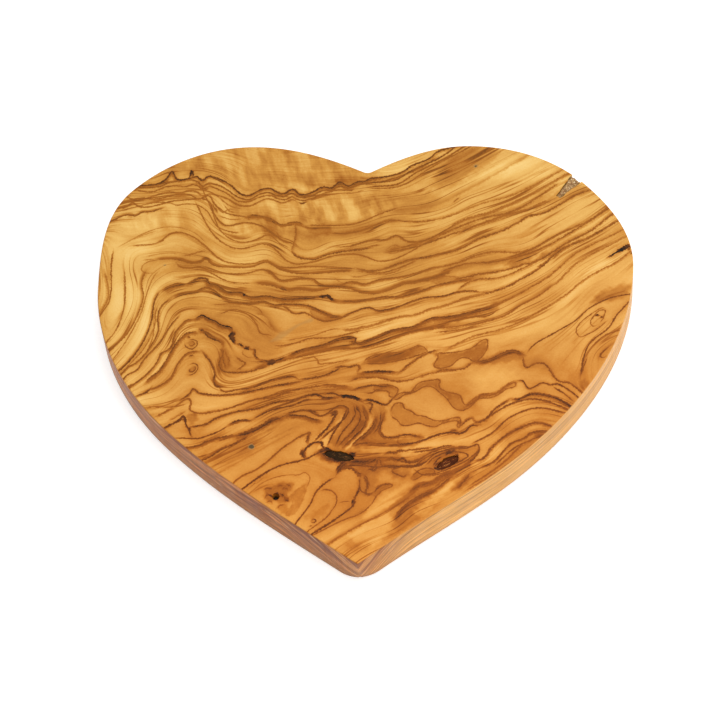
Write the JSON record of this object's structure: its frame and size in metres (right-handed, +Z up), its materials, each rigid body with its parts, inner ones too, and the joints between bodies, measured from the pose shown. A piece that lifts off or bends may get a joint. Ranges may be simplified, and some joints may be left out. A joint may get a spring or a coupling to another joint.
{
  "type": "breakfast board",
  "caption": "Heart-shaped olive-wood breakfast board: a thick flat plank with a shallow cleft, a pointed tip and eased edges, for serving bread or slicing on.",
  "frame": {"origin": "middle of the underside, on the surface that the board rests on", "axes": "+Z up out of the top face, +Y from the tip to the cleft, +X towards the right lobe"},
  "size_m": [0.22, 0.193, 0.02],
  "materials": {
    "olive_wood": "sanded and oiled, satin",
    "rim_fill": "matt, granular",
    "bark": "rough, oiled"
  },
  "bodies": {
    "root": {"heart_board": "olive_wood", "rim_pocket_fill": "rim_fill", "centre_bark_inclusion": "bark", "right_bark_inclusion": "bark"}
  },
  "joints": []
}
